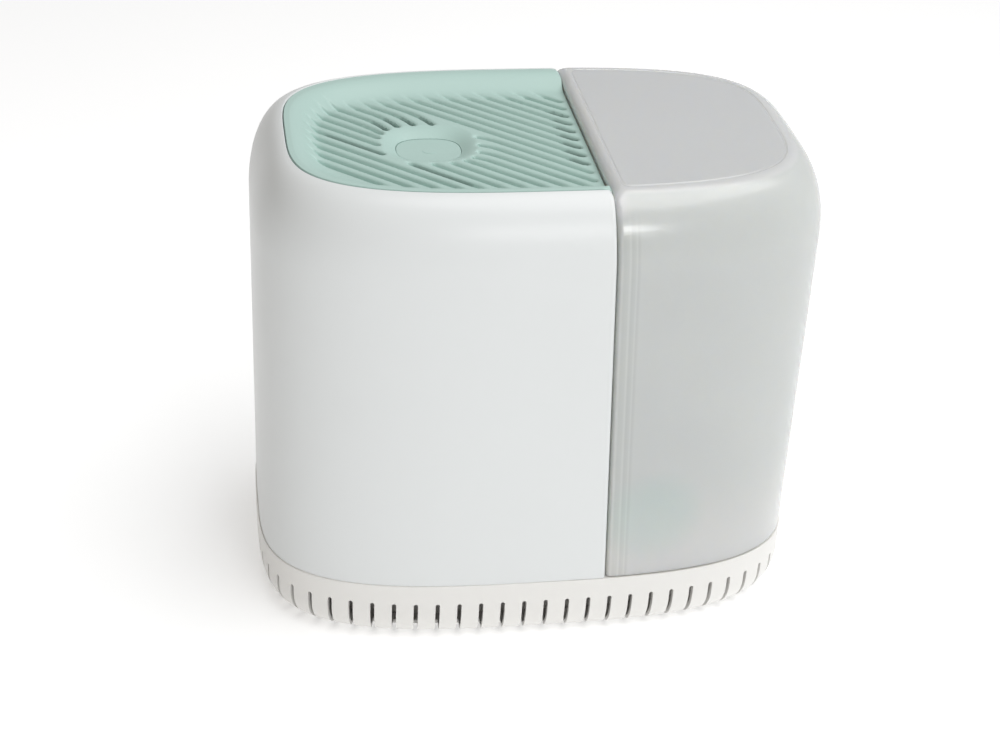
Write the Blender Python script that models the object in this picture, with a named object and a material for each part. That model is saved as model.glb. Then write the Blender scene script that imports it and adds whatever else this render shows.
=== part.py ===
"""Evaporative cool mist humidifier with a side water tank.

A base tray holds the water, a wick ring stands in it, and a fan in the lift-off housing draws room air in
through the slots round the base, through the wick and out of the slatted lid. The translucent tank stands
beside the housing and feeds the tray through a valve in its cap. Lengths are millimetres until a mesh is
made. X is the long side with the tank at +X, the front is -Y, and Z = 0 is the table.
"""
import math

import bmesh
import bpy
from mathutils import Vector

MM = 0.001

# Whole body
WIDTH, DEPTH, HEIGHT = 305.0, 196.2, 267.8
POWER_X, POWER_Y = 3.079, 3.802        # exponents of the superelliptic plan
TOP_INSET, TOP_ROUND = 20.4, 41.6      # elliptical rounding under the top
SEAM_X, SEAM_SLOPE = 26.3, 0.0406      # dividing plane: x at the top, and its shift for each mm downwards
SEAM_HALF_GAP = 0.5
GAP = 0.3                              # between pieces that rest on each other
WALL = 2.6

# Base tray
BASE_BOTTOM, BASE_TOP = 1.5, 37.7
BASE_INSET, BASE_ROUND = 14.0, 20.0    # elliptical rounding at the table
SHELL_INSET = 0.6                      # the shells stand this far inside the tray's edge
TRAY_FLOOR = 4.0
BASIN_TOP = 30.0
BASIN_OUTER_INSET, BASIN_INNER_INSET = 20.0, 22.5
LIP_OUTER, LIP_INNER, LIP_TOP = 3.6, 5.2, 43.0
LIP_END_X = 15.0
SLOT_COUNT, SLOT_WIDTH, SLOT_TOP, SLOT_DEPTH = 72, 2.4, 25.5, 14.0
SLOT_PHASE = 2.6                       # first slot, along the edge from the front centre
FOOT_RADIUS, FOOT_TOP = 9.0, 2.7
FOOT_X, FOOT_Y = 112.0, 58.0

# Wick filter and fan, on one vertical axis
FAN_X, FAN_Y = -58.0, 0.0
WICK_INNER, WICK_OUTER = 47.0, 65.0
FILTER_BOTTOM, FILTER_TOP = TRAY_FLOOR + GAP, 154.0
FRAME_LIP, FRAME_SKIN = 9.0, 1.6
DECK_BOTTOM, DECK_TOP = 160.0, 162.6
DUCT_INNER, DUCT_WALL, DUCT_TOP = 54.0, 2.4, 196.0
HUB_PLATE = 24.0
MOTOR_RADIUS, MOTOR_BOTTOM = 19.0, 128.0
SHAFT_RADIUS, SHAFT_TOP = 1.5, 186.0
IMPELLER_BOTTOM, IMPELLER_TOP = 166.0, 188.0
IMPELLER_HUB, IMPELLER_TIP, BLADES = 18.0, 51.5, 7

# Controls under the lid
BUTTON_X, BUTTON_Y = -57.5, -4.0
OVAL_POWER = 2.6                       # exponent of the button's rounded outline
PAD_LENGTH, PAD_WIDTH = 35.0, 28.6     # flat pad of the button
WELL_LENGTH, WELL_WIDTH = 51.0, 47.5   # top edge of the sloped well round it
BUTTON_TRAVEL = 1.8
BRACKET_BOTTOM, BRACKET_TOP = 224.3, 226.7
BOARD_BOTTOM, BOARD_TOP = 230.0, 231.6
BOARD_X, BOARD_Y = 44.0, 36.0
SWITCH_TOP = 238.4

# Lid
LID_INSET, LID_RIGHT, LID_CORNER = 19.5, 26.1, 3.0
LID_FLOOR, LID_UNDER = HEIGHT - 7.0, HEIGHT - 10.0
LID_SEAT = LID_UNDER - GAP
SLAT_ANGLE, SLIT_WIDTH = math.radians(-43.5), 2.4
SLAT_PITCH, SLAT_PHASE = 7.38, 5.52
WELL_FLOOR = HEIGHT - 11.0
POD_BOTTOM = HEIGHT - 24.3

# Tank and its valve
TANK_BOTTOM = BASE_TOP + GAP
TANK_CORNER, HOUSING_CORNER = 9.0, 3.0
TANK_EDGE = 4.5                        # rounding of the tank's top edge at the seam
CAP_X, CAP_Y = 100.0, 0.0
NECK_OUTER, NECK_BORE, NECK_BOTTOM = 21.0, 18.0, 23.0
CAP_RADIUS, CAP_BOTTOM, CAP_TOP = 25.5, 18.0, 35.7
CAP_FLOOR = 20.4
CAP_HOLE = 7.0
CAGE_RADIUS, CAGE_BOTTOM, CAGE_TOP = 14.5, 33.0, 35.0
STEM_RADIUS, STEM_BOTTOM, STEM_TOP = 2.5, 11.0, 38.0
VALVE_DISC_BOTTOM, VALVE_DISC_TOP = 25.5, 27.0
SEAL_RADIUS = 10.5

# Power inlet, low in the back of the housing
JACK_X, JACK_Z, JACK_FACE = -30.0, 60.0, 96.6
FLOAT_X, FLOAT_Y = 36.0, -45.0

MATERIALS = {
    "white_plastic": ((0.83, 0.85, 0.85, 1.0), 0.35, 0.0),
    "green_plastic": ((0.55, 0.70, 0.65, 1.0), 0.40, 0.0),
    "frosted_plastic": ((0.74, 0.77, 0.75, 0.7), 0.30, 0.0),
    "wick_paper": ((0.78, 0.80, 0.74, 1.0), 0.90, 0.0),
    "grey_plastic": ((0.45, 0.47, 0.48, 1.0), 0.45, 0.0),
    "dark_plastic": ((0.05, 0.05, 0.06, 1.0), 0.40, 0.0),
    "rubber": ((0.12, 0.12, 0.12, 1.0), 0.80, 0.0),
    "silicone": ((0.70, 0.73, 0.72, 1.0), 0.60, 0.0),
    "steel": ((0.62, 0.62, 0.63, 1.0), 0.30, 1.0),
    "circuit_board": ((0.03, 0.22, 0.10, 1.0), 0.50, 0.0),
}


# ---------------------------------------------------------------- helpers

def clear_scene():
    for obj in list(bpy.data.objects):
        bpy.data.objects.remove(obj, do_unlink=True)


def material(name):
    found = bpy.data.materials.get(name)
    if found:
        return found
    color, roughness, metallic = MATERIALS[name]
    made = bpy.data.materials.new(name)
    made.use_nodes = True
    shader = made.node_tree.nodes["Principled BSDF"]
    shader.inputs["Base Color"].default_value = color
    shader.inputs["Roughness"].default_value = roughness
    shader.inputs["Metallic"].default_value = metallic
    shader.inputs["Alpha"].default_value = color[3]
    return made


def add_mesh(name, points, faces, finish, origin=(0.0, 0.0, 0.0)):
    """Make an object from points in millimetres, with its origin where its joint needs it."""
    mesh = bpy.data.meshes.new(name)
    start = Vector(origin)
    mesh.from_pydata([(Vector(p) - start) * MM for p in points], [], faces)
    shaped = bmesh.new()
    shaped.from_mesh(mesh)
    bmesh.ops.recalc_face_normals(shaped, faces=shaped.faces)
    shaped.to_mesh(mesh)
    shaped.free()
    mesh.shade_smooth()
    mesh.set_sharp_from_angle(angle=math.radians(35))
    obj = bpy.data.objects.new(name, mesh)
    obj.location = start * MM
    bpy.context.collection.objects.link(obj)
    if finish:
        mesh.materials.append(material(finish))
    return obj


def loft(name, rings, finish, loop=False, origin=(0.0, 0.0, 0.0)):
    """Skin rings of equal length. A loop joins the last ring to the first; otherwise both ends are capped."""
    size, total = len(rings[0]), len(rings)
    points = [p for ring in rings for p in ring]
    faces = []
    for r in range(total if loop else total - 1):
        low, high = r * size, (r + 1) % total * size
        for k in range(size):
            j = (k + 1) % size
            faces.append((low + k, low + j, high + j, high + k))
    if not loop:
        faces.append(tuple(reversed(range(size))))
        faces.append(tuple(range((total - 1) * size, total * size)))
    return add_mesh(name, points, faces, finish, origin)


def circle(radius, z, x, y, sides):
    step = math.tau / sides
    return [(x + radius * math.cos(k * step), y + radius * math.sin(k * step), z) for k in range(sides)]


def turned(name, profile, x, y, finish, sides=24, loop=False, origin=None):
    """Turn a profile of (radius, z) pairs about the vertical line at x, y."""
    rings = [circle(radius, z, x, y, sides) for radius, z in profile]
    return loft(name, rings, finish, loop, origin or (x, y, profile[0][1]))


def box(name, low, high, finish, origin=(0.0, 0.0, 0.0)):
    (x0, y0, z0), (x1, y1, z1) = low, high
    rings = [[(x0, y0, z), (x1, y0, z), (x1, y1, z), (x0, y1, z)] for z in (z0, z1)]
    return loft(name, rings, finish, origin=origin)


def oval(length, width, z, sides=28):
    """The button's rounded outline at one size."""
    ring = []
    for k in range(sides):
        c, s = math.cos(math.tau * k / sides), math.sin(math.tau * k / sides)
        x = math.copysign(length / 2 * abs(c) ** (2 / OVAL_POWER), c)
        y = math.copysign(width / 2 * abs(s) ** (2 / OVAL_POWER), s)
        ring.append((BUTTON_X + x, BUTTON_Y + y, z))
    return ring


def combine(target, tool, operation):
    """Boolean with a hidden tool object, which stays as an editable guide."""
    modifier = target.modifiers.new(tool.name, "BOOLEAN")
    modifier.operation = operation
    modifier.solver = "EXACT"
    modifier.object = tool
    tool.hide_render = True
    tool.display_type = "WIRE"


def cut(target, *tools):
    for tool in tools:
        combine(target, tool, "DIFFERENCE")


def unite(target, *tools):
    for tool in tools:
        combine(target, tool, "UNION")


# ---------------------------------------------------------------- plan outlines

def ellipse_point(a, b, t):
    c, s = math.cos(t), math.sin(t)
    return math.copysign(a * abs(c) ** (2 / POWER_X), c), math.copysign(b * abs(s) ** (2 / POWER_Y), s)


def full_outline(inset, z, sides=44):
    """The whole plan, moved in by inset."""
    step = math.tau / sides
    flat = [ellipse_point(WIDTH / 2 - inset, DEPTH / 2 - inset, (k + 0.5) * step) for k in range(sides)]
    return [(x, y, z) for x, y in flat]


def part_outline(a, b, wall_x, corner, z, side, centre_y=0.0, sides=30, arc=3):
    """The plan on one side of a straight wall at wall_x, with its two corners rounded.

    side is +1 for the tank's part (x above the wall) and -1 for the housing's.
    """
    tangent = side * wall_x + corner
    ratio = (abs(tangent) / a) ** (POWER_X / 2)
    end = math.acos(math.copysign(ratio, tangent))
    flat = [ellipse_point(a, b, -end + 2 * end * k / sides) for k in range(sides + 1)]
    reach = flat[-1][1] - corner
    for k in range(1, arc + 1):
        turn = math.pi / 2 * (1 + k / arc)
        flat.append((tangent + corner * math.cos(turn), reach + corner * math.sin(turn)))
    for k in range(arc):
        turn = math.pi + math.pi / 2 * k / arc
        flat.append((tangent + corner * math.cos(turn), -reach + corner * math.sin(turn)))
    if side < 0:
        flat = [(-x, y) for x, y in reversed(flat)]
    return [(x, y + centre_y, z) for x, y in flat]


def seam_x(z):
    return SEAM_X + SEAM_SLOPE * (HEIGHT - z)


def top_levels(steps=6):
    """(z, inset) pairs up the elliptical rounding to the top."""
    turns = [math.pi / 2 * k / (steps - 1) for k in range(steps)]
    return [(HEIGHT - TOP_ROUND + TOP_ROUND * math.sin(t), TOP_INSET * (1 - math.cos(t))) for t in turns]


def base_inset(z):
    rise = max(0.0, 1 - z / BASE_ROUND)
    return BASE_INSET * (1 - math.sqrt(1 - rise * rise))


def shell_solid(name, bottom, top, skin, side, corner, finish):
    """A shell's solid form: skin is 0 for its outside, or the wall's thickness for its hollow."""
    rings = []
    levels = [(bottom, 0.0)] + top_levels()
    for z, inset in levels:
        squeeze = (top - bottom) / (HEIGHT - bottom)
        level = bottom + (z - bottom) * squeeze
        edge = max(0.0, level - (HEIGHT - TANK_EDGE)) / TANK_EDGE if side > 0 and not skin else 0.0
        soft = TANK_EDGE * (1 - math.sqrt(1 - edge * edge))
        wall = seam_x(level) + side * (SEAM_HALF_GAP + skin + soft)
        a = WIDTH / 2 - SHELL_INSET - skin - inset
        b = DEPTH / 2 - SHELL_INSET - skin - inset
        rings.append(part_outline(a, b, wall, max(corner - skin, 1.0), level, side))
    return loft(name, rings, finish)


def boss_place(t, reach=3.9):
    """A screw boss's centre at plan angle t, at a reach from the wall's inner face that sinks its side in."""
    inset = SHELL_INSET + WALL + reach
    return ellipse_point(WIDTH / 2 - inset, DEPTH / 2 - inset, t)


DECK_BOSSES = [boss_place(math.radians(t)) for t in (135, 225, 271.2, 88.8)]
BRACKET_BOSSES = [(BUTTON_X, boss_place(math.radians(t), 4.7)[1]) for t in (103.5, 256.5)]


# ---------------------------------------------------------------- base

def slot_cutters():
    """Upright slots at even spacing round the edge, as one mesh of separate blocks."""
    fine = 1440
    edge = [Vector(ellipse_point(WIDTH / 2, DEPTH / 2, -math.pi / 2 + math.tau * k / fine)) for k in range(fine + 1)]
    length = [0.0]
    for a, b in zip(edge, edge[1:]):
        length.append(length[-1] + (b - a).length)
    points, faces = [], []
    for slot in range(SLOT_COUNT):
        goal = SLOT_PHASE + slot * length[-1] / SLOT_COUNT
        at = next(k for k in range(fine) if length[k + 1] >= goal)
        along = (edge[at + 1] - edge[at]).normalized()
        place = edge[at] + along * (goal - length[at])
        outward = Vector((along.y, -along.x))
        first = len(points)
        for z in (-1.0, SLOT_TOP):
            for out, across in ((3.0, -1), (3.0, 1), (-SLOT_DEPTH, 1), (-SLOT_DEPTH, -1)):
                flat = place + outward * out + along * across * SLOT_WIDTH / 2
                points.append((flat.x, flat.y, z))
        faces += [tuple(first + k for k in (3, 2, 1, 0)), tuple(first + k for k in (4, 5, 6, 7))]
        faces += [tuple(first + k for k in (k0, (k0 + 1) % 4, 4 + (k0 + 1) % 4, 4 + k0)) for k0 in range(4)]
    return add_mesh("cutter_slots", points, faces, None)


def make_base():
    rings = [full_outline(base_inset(z), z) for z in (BASE_BOTTOM, 8.0, BASE_ROUND, BASE_TOP)]
    rings += [full_outline(LIP_OUTER, BASE_TOP), full_outline(LIP_OUTER, LIP_TOP)]
    tray = loft("base_tray", rings, "white_plastic")

    channel = [(base_inset(z) + WALL, z) for z in (TRAY_FLOOR, 10.0)]
    channel += [(WALL, BASE_ROUND), (WALL, BASIN_TOP), (LIP_INNER, BASIN_TOP + 1), (LIP_INNER, LIP_TOP + 2)]
    channel += [(BASIN_OUTER_INSET, LIP_TOP + 2), (BASIN_OUTER_INSET, TRAY_FLOOR)]
    cut(tray, loft("cutter_channel", [full_outline(i, z) for i, z in channel], None, loop=True))
    cut(tray, loft("cutter_basin", [full_outline(BASIN_INNER_INSET, z) for z in (TRAY_FLOOR, LIP_TOP + 3)], None))
    cut(tray, loft("cutter_basin_top", [full_outline(15.0, z) for z in (BASIN_TOP, LIP_TOP + 4)], None))
    cut(tray, box("cutter_lip", (LIP_END_X, -DEPTH, BASE_TOP - 0.1), (WIDTH, DEPTH, LIP_TOP + 5), None))
    cut(tray, slot_cutters())
    unite(tray, turned("guide_post", [(4.0, 3.0), (4.0, STEM_BOTTOM - GAP)], CAP_X, CAP_Y, None, 16))
    unite(tray, turned("guide_float_pin", [(2.2, 3.0), (2.2, 32.0)], FLOAT_X, FLOAT_Y, None, 12))
    for index, (sx, sy) in enumerate(((-1, -1), (1, -1), (1, 1), (-1, 1)), 1):
        x, y = sx * FOOT_X, sy * FOOT_Y
        pocket = [(FOOT_RADIUS + GAP, -1.0), (FOOT_RADIUS + GAP, FOOT_TOP + GAP)]
        cut(tray, turned(f"cutter_foot_{index}", pocket, x, y, None, 20))
        turned(f"rubber_foot_{index}", [(8.2, 0.0), (FOOT_RADIUS, 0.8), (FOOT_RADIUS, FOOT_TOP)], x, y, "rubber", 20)

    height = 12.0
    turned("water_float", [(2.8, 6.0), (9.0, 6.0), (9.0, 6.0 + height), (2.8, 6.0 + height)],
           FLOAT_X, FLOAT_Y, "grey_plastic", 20, loop=True)


def make_filter():
    inner, outer = WICK_INNER - GAP, WICK_OUTER + GAP
    for name, plate, tip in (("filter_bottom_frame", FILTER_BOTTOM, 1), ("filter_top_frame", FILTER_TOP, -1)):
        floor, lip = plate + tip * FRAME_SKIN, plate + tip * FRAME_LIP
        profile = [(inner - FRAME_SKIN, plate), (outer + FRAME_SKIN, plate), (outer + FRAME_SKIN, lip), (outer, lip),
                   (outer, floor), (inner, floor), (inner, lip), (inner - FRAME_SKIN, lip)]
        turned(name, profile, FAN_X, FAN_Y, "white_plastic", 36, loop=True)
    low, high = FILTER_BOTTOM + FRAME_SKIN + GAP, FILTER_TOP - FRAME_SKIN - GAP
    profile = [(WICK_INNER, low), (WICK_OUTER, low), (WICK_OUTER, high), (WICK_INNER, high)]
    turned("filter_wick", profile, FAN_X, FAN_Y, "wick_paper", 36, loop=True)


# ---------------------------------------------------------------- housing and fan

def make_housing():
    shell = shell_solid("housing_shell", TANK_BOTTOM, HEIGHT, 0.0, -1, HOUSING_CORNER, "white_plastic")
    cut(shell, shell_solid("cutter_housing_hollow", TANK_BOTTOM - 8, LID_SEAT - 3.7, WALL, -1, HOUSING_CORNER, None))

    inset = LID_INSET - GAP
    pocket = [part_outline(WIDTH / 2 - inset, DEPTH / 2 - inset, 45.0, LID_CORNER, z, -1)
              for z in (LID_SEAT, HEIGHT + 5)]
    cut(shell, loft("cutter_lid_pocket", pocket, None))
    inset += 3.5
    way = [part_outline(WIDTH / 2 - inset, DEPTH / 2 - inset, SEAM_X - 4.2, LID_CORNER, z, -1)
           for z in (LID_SEAT - 12, HEIGHT + 4)]
    cut(shell, loft("cutter_lid_opening", way, None))

    for index, (x, y) in enumerate(DECK_BOSSES, 1):
        unite(shell, turned(f"guide_deck_boss_{index}", [(5.0, DECK_TOP + GAP), (5.0, 182.0)], x, y, None, 14))
        cut(shell, turned(f"cutter_deck_boss_{index}", [(1.8, DECK_TOP - 5), (1.8, 176.0)], x, y, None, 8))
    for index, (x, y) in enumerate(BRACKET_BOSSES, 1):
        unite(shell, turned(f"guide_bracket_boss_{index}", [(5.0, 205.0), (5.0, BRACKET_BOTTOM - GAP)], x, y, None, 14))
        cut(shell, turned(f"cutter_bracket_boss_{index}", [(1.8, 211.0), (1.8, BRACKET_TOP)], x, y, None, 8))
    hole = [[(JACK_X + 7.0 * math.cos(k * math.tau / 24), y, JACK_Z + 7.0 * math.sin(k * math.tau / 24))
             for k in range(24)] for y in (85.0, 105.0)]
    cut(shell, loft("cutter_jack_hole", hole, None))


def screw(name, x, y, head, tip, radius=3.0):
    """A pan head screw. The head's outer face is at head, and the shank ends at tip."""
    way = math.copysign(1.0, tip - head)
    profile = [(radius * 0.7, head), (radius, head + way * 0.8), (radius, head + way * 2.3),
               (1.5, head + way * 2.3), (1.5, tip - way * 1.0), (0.5, tip)]
    return turned(name, profile, x, y, "steel", 10)


def make_deck():
    corner = 2.0
    inset = SHELL_INSET + WALL + 0.4
    wall = seam_x(DECK_TOP) - SEAM_HALF_GAP - WALL - 0.5
    rings = [part_outline(WIDTH / 2 - inset, DEPTH / 2 - inset, wall, corner, z, -1, sides=28, arc=2)
             for z in (DECK_BOTTOM, DECK_TOP)]
    deck = loft("fan_deck", rings, "white_plastic")
    outer = DUCT_INNER + DUCT_WALL
    unite(deck, turned("guide_duct", [(outer, DECK_BOTTOM + 1), (outer, DUCT_TOP)], FAN_X, FAN_Y, None, 40))
    cut(deck, turned("cutter_duct", [(DUCT_INNER, DECK_BOTTOM - 5), (DUCT_INNER, DUCT_TOP + 5)],
                     FAN_X, FAN_Y, None, 40))
    hub = turned("guide_motor_plate", [(HUB_PLATE, DECK_BOTTOM + 0.1), (HUB_PLATE, DECK_TOP - 0.1)],
                 FAN_X, FAN_Y, None, 24)
    unite(deck, hub)
    for index in range(3):
        turn = math.radians(30 + 120 * index)
        out, across = Vector((math.cos(turn), math.sin(turn))), Vector((-math.sin(turn), math.cos(turn))) * 4.0
        ends = [out * r + across * s for r, s in ((20, -1), (56, -1), (56, 1), (20, 1))]
        rings = [[(FAN_X + p.x, FAN_Y + p.y, z) for p in ends] for z in (DECK_BOTTOM + 0.2, DECK_TOP - 0.2)]
        unite(deck, loft(f"guide_arm_{index + 1}", rings, None))
    cut(deck, turned("cutter_shaft_hole", [(5.0, DECK_BOTTOM - 4), (5.0, DECK_TOP + 4)], FAN_X, FAN_Y, None, 16))
    for index, (x, y) in enumerate(((-30.0, 86.0), (-70.0, 84.0)), 1):
        cut(deck, turned(f"cutter_lead_hole_{index}", [(3.2, DECK_BOTTOM - 4), (3.2, DECK_TOP + 4)], x, y, None, 12))
    for index, (x, y) in enumerate(DECK_BOSSES, 1):
        cut(deck, turned(f"cutter_deck_hole_{index}", [(1.9, DECK_BOTTOM - 4), (1.9, DECK_TOP + 4)], x, y, None, 8))
        screw(f"deck_screw_{index}", x, y, DECK_BOTTOM - GAP - 2.3, 174.0)
    for index, side in enumerate((-1, 1), 1):
        x, y = FAN_X + side * 12.0, FAN_Y
        cut(deck, turned(f"cutter_motor_hole_{index}", [(1.9, DECK_BOTTOM - 4), (1.9, DECK_TOP + 4)], x, y, None, 8))


def make_fan():
    top = DECK_BOTTOM - GAP
    motor = turned("fan_motor", [(14.0, MOTOR_BOTTOM), (MOTOR_RADIUS, MOTOR_BOTTOM + 3), (MOTOR_RADIUS, top - 1.5),
                                 (MOTOR_RADIUS - 1.5, top)], FAN_X, FAN_Y, "steel", 28)
    cut(motor, turned("cutter_motor_bore", [(1.8, 140.0), (1.8, top + 5)], FAN_X, FAN_Y, None, 12))
    for index, side in enumerate((-1, 1), 1):
        x, y = FAN_X + side * 12.0, FAN_Y
        cut(motor, turned(f"cutter_motor_tap_{index}", [(1.8, 151.0), (1.8, top + 5)], x, y, None, 8))
        screw(f"motor_screw_{index}", x, y, DECK_TOP + 2.3 + 0.2, 152.0, 2.6)
    turned("motor_shaft", [(SHAFT_RADIUS, 141.0), (SHAFT_RADIUS, SHAFT_TOP)], FAN_X, FAN_Y, "steel", 12)

    hub = [(6.0, IMPELLER_BOTTOM), (IMPELLER_HUB, IMPELLER_BOTTOM), (IMPELLER_HUB, IMPELLER_TOP - 4),
           (IMPELLER_HUB - 5, IMPELLER_TOP), (3.0, IMPELLER_TOP)]
    impeller = turned("fan_impeller", hub, FAN_X, FAN_Y, "grey_plastic", 28)
    for index in range(BLADES):
        unite(impeller, blade(f"guide_blade_{index + 1}", math.tau * index / BLADES))
    cut(impeller, turned("cutter_impeller_bore", [(1.8, IMPELLER_BOTTOM - 5), (1.8, SHAFT_TOP + 0.5)],
                         FAN_X, FAN_Y, None, 12))


def blade(name, turn):
    """One twisted blade, as sections across it from inside the hub to the tip."""
    stations, half_chord, thick = 4, 17.0, 0.8
    rings = []
    for k in range(stations):
        part = k / (stations - 1)
        radius = IMPELLER_HUB - 2 + part * (IMPELLER_TIP - IMPELLER_HUB + 2)
        pitch = math.radians(34 - 16 * part)
        ring = []
        for along, offset in ((-1, -0.4), (0, -1), (1, -0.4), (1, 0.4), (0, 1), (-1, 0.4)):
            chord = along * half_chord * (0.55 + 0.45 * part)
            side = chord * math.cos(pitch) - offset * thick * math.sin(pitch)
            rise = chord * math.sin(pitch) + offset * thick * math.cos(pitch)
            angle = turn + side / radius
            reach = min(radius, IMPELLER_TIP)
            ring.append((FAN_X + reach * math.cos(angle), FAN_Y + reach * math.sin(angle),
                         (IMPELLER_BOTTOM + IMPELLER_TOP) / 2 - 1 + rise))
        rings.append(ring)
    return loft(name, rings, None)


# ---------------------------------------------------------------- controls and wiring

def make_controls():
    reach = 91.2
    bracket = box("control_bracket", (BUTTON_X - 7, -reach, BRACKET_BOTTOM), (BUTTON_X + 7, reach, BRACKET_TOP),
                  "white_plastic")
    unite(bracket, turned("guide_board_plate", [(24.0, BRACKET_BOTTOM + 0.1), (24.0, BRACKET_TOP - 0.1)],
                          BUTTON_X, BUTTON_Y, None, 28))
    for index, (x, y) in enumerate(BRACKET_BOSSES, 1):
        cut(bracket, turned(f"cutter_bracket_hole_{index}", [(1.9, BRACKET_BOTTOM - 4), (1.9, BRACKET_TOP + 4)],
                            x, y, None, 8))
        screw(f"bracket_screw_{index}", x, y, BRACKET_TOP + GAP + 2.3, 213.0, 2.6)

    low, high = BUTTON_Y - BOARD_Y / 2, BUTTON_Y + BOARD_Y / 2
    board = box("control_board", (BUTTON_X - BOARD_X / 2, low, BOARD_BOTTOM),
                (BUTTON_X + BOARD_X / 2, high, BOARD_TOP), "circuit_board")
    for index, side in enumerate((-1, 1), 1):
        x, y = BUTTON_X + side * 17.0, BUTTON_Y
        unite(bracket, turned(f"guide_standoff_{index}", [(3.4, BRACKET_BOTTOM + 1), (3.4, BOARD_BOTTOM - GAP)],
                              x, y, None, 12))
        cut(bracket, turned(f"cutter_standoff_{index}", [(1.8, BRACKET_BOTTOM + 1.5), (1.8, BOARD_BOTTOM + 2)],
                            x, y, None, 8))
        cut(board, turned(f"cutter_board_hole_{index}", [(1.9, BOARD_BOTTOM - 2), (1.9, BOARD_TOP + 2)],
                          x, y, None, 8))
        screw(f"board_screw_{index}", x, y, BOARD_TOP + GAP + 2.3, BRACKET_BOTTOM + 2.0, 2.6)

    base = BOARD_TOP + GAP
    switch = box("tact_switch", (BUTTON_X - 3, BUTTON_Y - 3, base), (BUTTON_X + 3, BUTTON_Y + 3, base + 3.6),
                 "dark_plastic")
    unite(switch, turned("guide_switch_pin", [(1.7, base + 3), (1.7, SWITCH_TOP)], BUTTON_X, BUTTON_Y, None, 12))
    turned("status_led", [(1.9, base), (1.9, base + 0.8), (1.5, base + 0.8), (1.5, base + 3.4), (0.7, base + 4.4)],
           BUTTON_X + 9, BUTTON_Y - 9, "silicone", 12)
    box("board_connector", (BUTTON_X - 9, 8.5, base), (BUTTON_X + 9, 13.5, base + 5), "silicone")


def make_inlet():
    """Barrel socket for a direct-current plug, turned about the line through its centre along Y."""
    profile = [(5.0, 80.0), (5.0, 92.0), (9.5, 92.0), (9.5, 94.0), (6.7, 94.0), (6.7, JACK_FACE), (2.9, JACK_FACE),
               (2.9, 87.0), (1.0, 87.0), (1.0, 95.0)]
    sides = 20
    rings = [[(JACK_X + r * math.cos(k * math.tau / sides), y, JACK_Z - r * math.sin(k * math.tau / sides))
              for k in range(sides)] for r, y in profile]
    loft("dc_inlet_jack", rings, "dark_plastic")


def smooth_route(points, parts=3):
    """A smooth curve through the route's points (Catmull-Rom)."""
    guide = [Vector(p) for p in points]
    guide = [guide[0] * 2 - guide[1]] + guide + [guide[-1] * 2 - guide[-2]]
    route = []
    for a, b, c, d in zip(guide, guide[1:], guide[2:], guide[3:]):
        for k in range(parts):
            t = k / parts
            route.append(0.5 * ((2 * b) + (c - a) * t + (2 * a - 5 * b + 4 * c - d) * t ** 2
                                + (3 * b - a - 3 * c + d) * t ** 3))
    return route + [guide[-2]]


def lead(name, points, radius):
    curve = bpy.data.curves.new(name, "CURVE")
    curve.dimensions = "3D"
    curve.bevel_depth = radius * MM
    curve.bevel_resolution = 2
    curve.use_fill_caps = True
    route = smooth_route(points)
    spline = curve.splines.new("POLY")
    spline.points.add(len(route) - 1)
    for point, place in zip(spline.points, route):
        point.co = (*(place * MM), 1.0)
    curve.materials.append(material("dark_plastic"))
    bpy.context.collection.objects.link(bpy.data.objects.new(name, curve))


def make_leads():
    end = BOARD_TOP + GAP + 2.6
    lead("power_lead", [(JACK_X, 79.5, JACK_Z), (JACK_X, 76.5, JACK_Z), (JACK_X, 73, 64), (JACK_X, 78, 82),
                        (JACK_X, 86, 110), (JACK_X, 86, 161), (JACK_X, 84, 200), (-36, 62, 226), (-48, 30, 236),
                        (-53, 14, end)], 1.6)
    lead("motor_lead", [(FAN_X, MOTOR_RADIUS + GAP, 148), (-59, 27, 150), (-62, 42, 156.6), (-66, 66, 156.9),
                        (-70, 82, 157.6), (-70, 84, 166), (-70, 82, 200), (-67, 56, 228), (-62, 14, end)], 1.1)


# ---------------------------------------------------------------- lid and button

def slit_spans(offset, inside):
    """The stretches of one diagonal line that lie in the slatted floor."""
    along = Vector((math.cos(SLAT_ANGLE), math.sin(SLAT_ANGLE)))
    start = Vector((-along.y, along.x)) * offset
    spans, opened = [], None
    for k in range(-360, 361):
        reach = k * 0.5
        ok = inside(start + along * reach)
        if ok and opened is None:
            opened = reach
        if not ok and opened is not None:
            if reach - opened > 6:
                spans.append((start + along * opened, start + along * (reach - 0.5)))
            opened = None
    return spans


def floor_shape(margin):
    """Half length, half width, wall and centre of the lid's slatted floor, moved in by margin."""
    return 114.0 - margin, 59.5 - margin, 24.5 - margin, -0.8


def in_slatted_floor(point):
    a, b, wall, centre = floor_shape(2.5)
    if point.x > wall:
        return False
    if (abs(point.x) / a) ** POWER_X + (abs(point.y - centre) / b) ** POWER_Y > 1:
        return False
    rim = 2.0
    well_x = (point.x - BUTTON_X) / (WELL_LENGTH / 2 + rim)
    well_y = (point.y - BUTTON_Y) / (WELL_WIDTH / 2 + rim)
    return abs(well_x) ** OVAL_POWER + abs(well_y) ** OVAL_POWER > 1


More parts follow.
